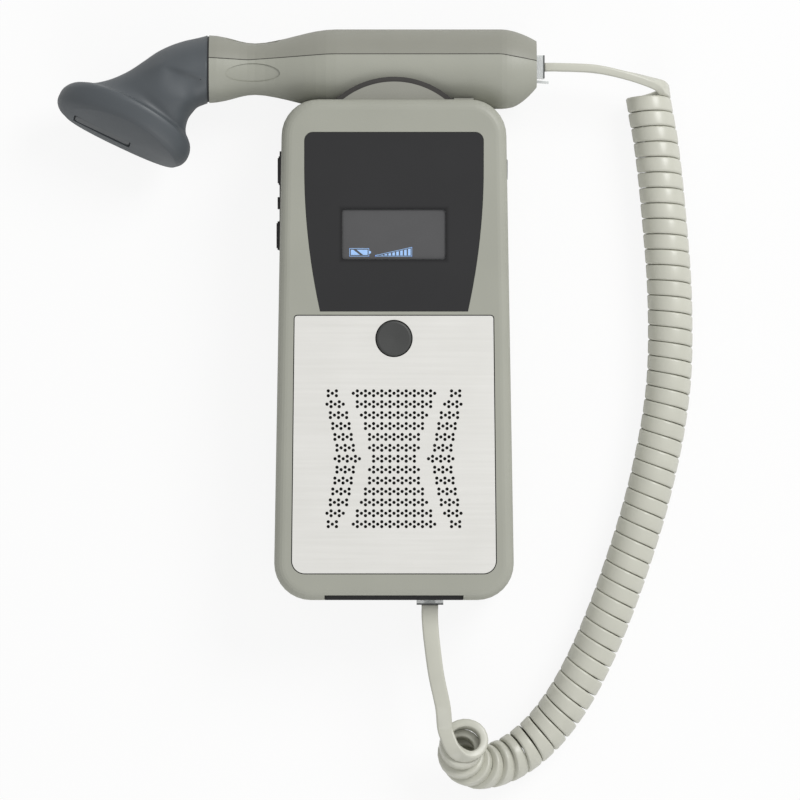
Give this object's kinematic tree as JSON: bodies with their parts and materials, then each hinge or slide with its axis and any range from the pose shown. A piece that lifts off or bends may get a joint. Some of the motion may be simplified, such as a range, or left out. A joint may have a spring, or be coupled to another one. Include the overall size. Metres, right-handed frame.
{
  "type": "vascular doppler",
  "caption": "Handheld vascular doppler: beige case with display, perforated steel speaker plate and keys, a curly cord, and a hooked ultrasound probe resting in the top cradle.",
  "frame": {"origin": "middle of the case's back face, which the device lies on", "axes": "+X to the right of the display, +Y up the case towards the probe cradle, +Z out of the front face"},
  "size_m": [0.1828, 0.2189, 0.0324],
  "materials": {
    "beige_case": "fine moulded texture, satin",
    "beige_shadow": "fine moulded texture",
    "dark_overlay": "satin film",
    "window_lens": "smooth",
    "display_glass": "gloss",
    "grille_steel": "brushed",
    "felt": "matt",
    "speaker_black": "matt",
    "magnet_steel": "plated",
    "button_black": "satin",
    "key_rubber": "matt",
    "liner_rubber": "matt",
    "board": "solder mask",
    "switch_black": "matt",
    "socket_black": "matt",
    "panel_black": "matt",
    "contact_gold": "gold plated",
    "cell_wrap": "gloss film",
    "spring_steel": "nickel plated",
    "screw_steel": "zinc plated",
    "head_grey": "soft satin",
    "lens_grey": "smooth",
    "crystal": "matt",
    "clear_plug": "clear",
    "cord_jacket": "satin"
  },
  "bodies": {
    "unit": {"front_cover": "beige_case", "rear_cover": "beige_case", "cradle": "beige_shadow", "cradle_liner": "liner_rubber", "display_overlay": "dark_overlay", "display_window": "window_lens", "display_module": "display_glass", "grille_plate": "grille_steel", "grille_felt": "felt", "speaker_gasket": "speaker_black", "speaker_frame": "speaker_black", "speaker_cone": "speaker_black", "speaker_magnet": "magnet_steel", "power_switch": "switch_black", "main_board": "board", "key_strip": "key_rubber", "volume_switches": "switch_black", "headphone_socket": "socket_black", "connector_panel": "panel_black", "unit_jack": "switch_black", "unit_jack_contacts": "contact_gold", "battery_cells": "cell_wrap", "battery_springs": "spring_steel", "battery_plates": "spring_steel", "case_screws": "screw_steel", "cord_coil": "cord_jacket", "cord_tail_unit": "cord_jacket", "unit_plug": "clear_plug", "unit_plug_contacts": "contact_gold"},
    "probe": {"probe_upper_shell": "beige_case", "probe_lower_shell": "beige_case", "probe_head": "head_grey", "probe_seal": "liner_rubber", "probe_window": "lens_grey", "crystal_block": "crystal", "probe_board": "board", "probe_jack": "switch_black", "probe_jack_contacts": "contact_gold", "probe_plug": "clear_plug", "probe_plug_contacts": "contact_gold", "cord_tail_probe": "cord_jacket"},
    "power_button": {"power_button": "button_black"},
    "volume_up_key": {"volume_up_key": "key_rubber"},
    "volume_down_key": {"volume_down_key": "key_rubber"},
    "battery_door": {"battery_door": "beige_case"}
  },
  "joints": [
    {"name": "probe_lift", "type": "slide", "parent": "unit", "child": "probe", "axis": [0, 1, 0], "range_m": [0, 0.03]},
    {"name": "power_press", "type": "slide", "parent": "unit", "child": "power_button", "axis": [0, 0, -1], "range_m": [0, 0.0006], "stiffness_N_per_m": 2500},
    {"name": "volume_up_press", "type": "slide", "parent": "unit", "child": "volume_up_key", "axis": [1, 0, 0], "range_m": [0, 0.0006], "stiffness_N_per_m": 2000},
    {"name": "volume_down_press", "type": "slide", "parent": "unit", "child": "volume_down_key", "axis": [1, 0, 0], "range_m": [0, 0.0006], "stiffness_N_per_m": 2000},
    {"name": "door_slide", "type": "slide", "parent": "unit", "child": "battery_door", "axis": [0, -1, 0], "range_m": [0, 0.008]}
  ]
}
